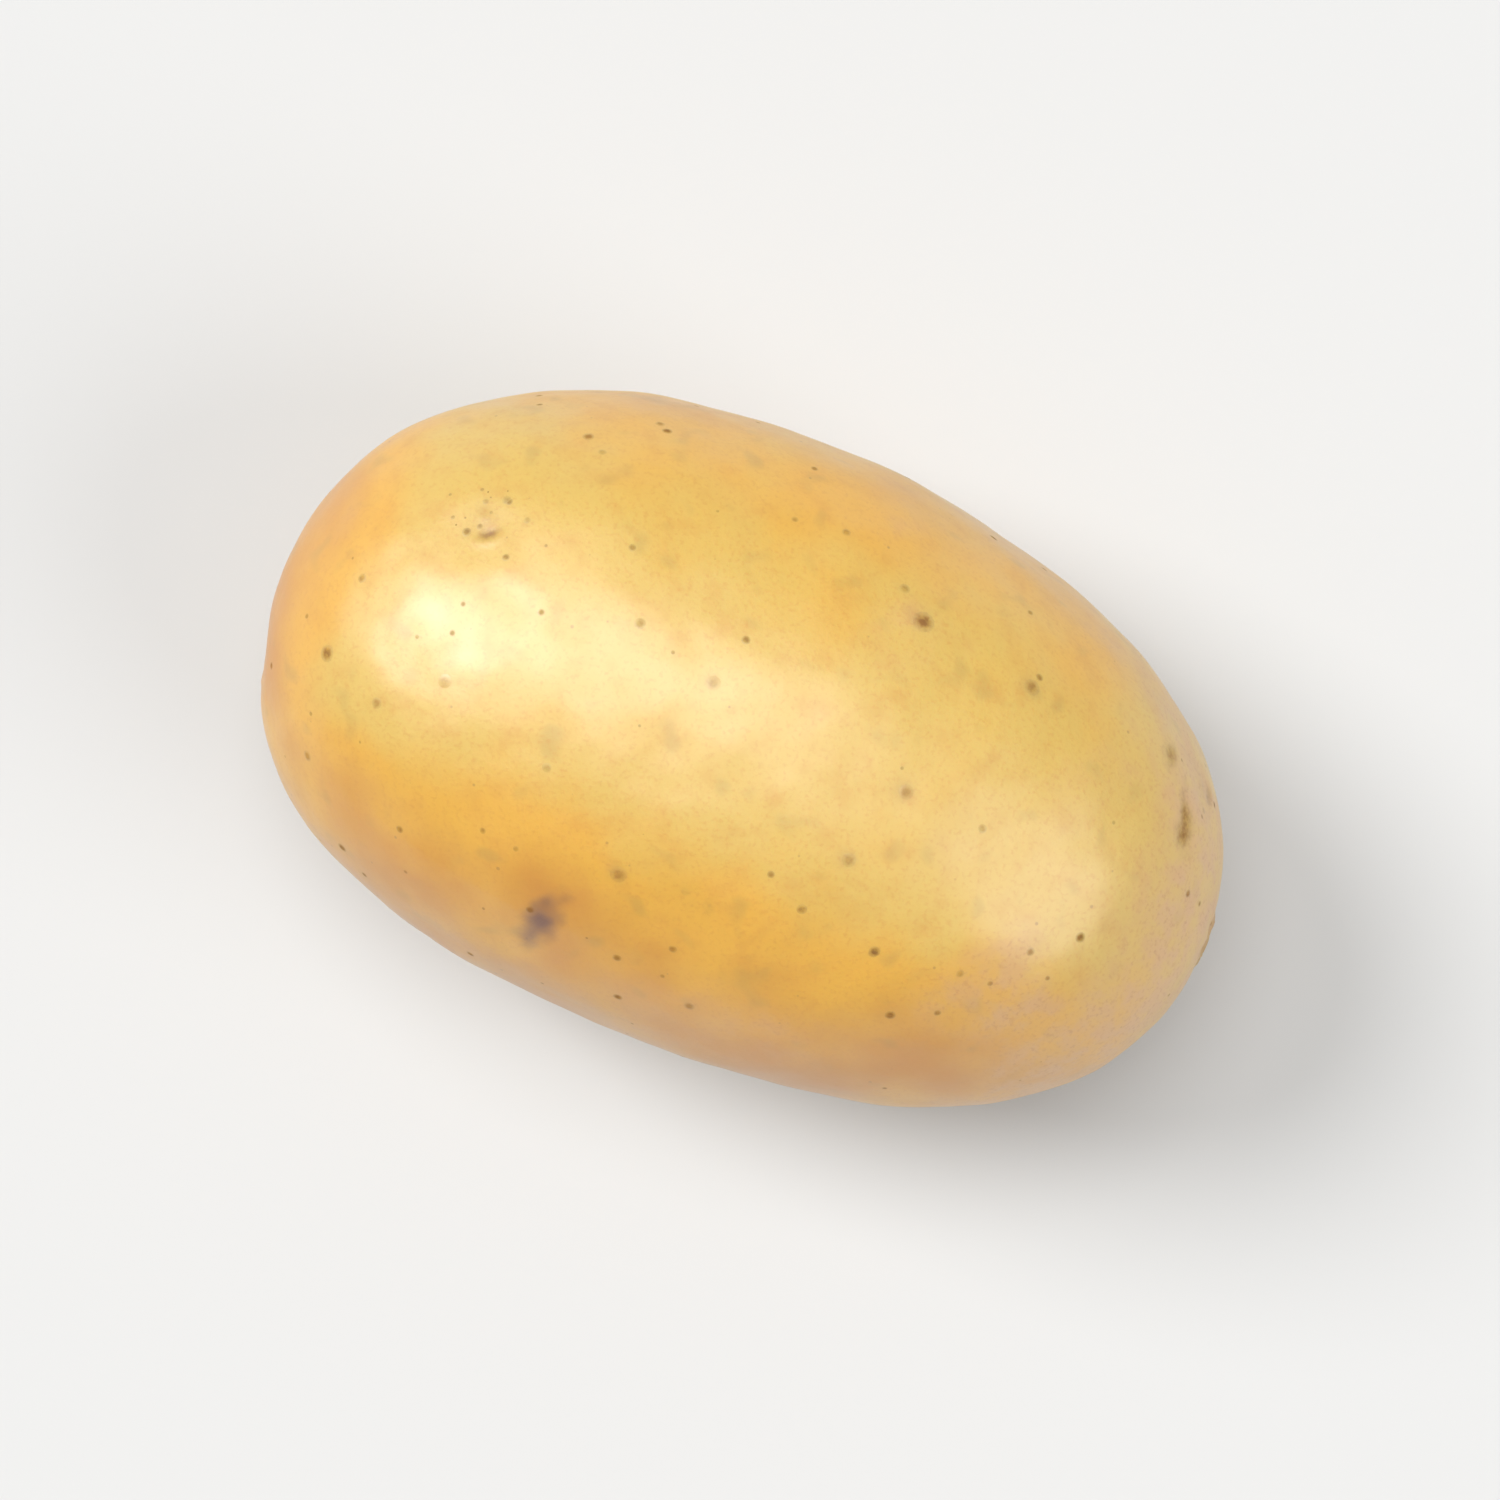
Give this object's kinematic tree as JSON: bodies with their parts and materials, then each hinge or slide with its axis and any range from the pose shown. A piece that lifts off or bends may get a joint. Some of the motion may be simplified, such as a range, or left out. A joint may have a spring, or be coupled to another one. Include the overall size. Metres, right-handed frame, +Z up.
{
  "type": "potato",
  "caption": "Whole medium potato, an oval tuber with smooth yellow skin, shallow eyes and a small flat spot that it rests on.",
  "frame": {"origin": "middle of the potato's box, at the level of the flat spot that it rests on", "axes": "+X along the potato from the rose end, where the eyes crowd, to the stem end; +Y across it; +Z up"},
  "size_m": [0.092, 0.058, 0.051],
  "materials": {
    "skin": "satin"
  },
  "bodies": {
    "root": {"potato": "skin"}
  },
  "joints": []
}
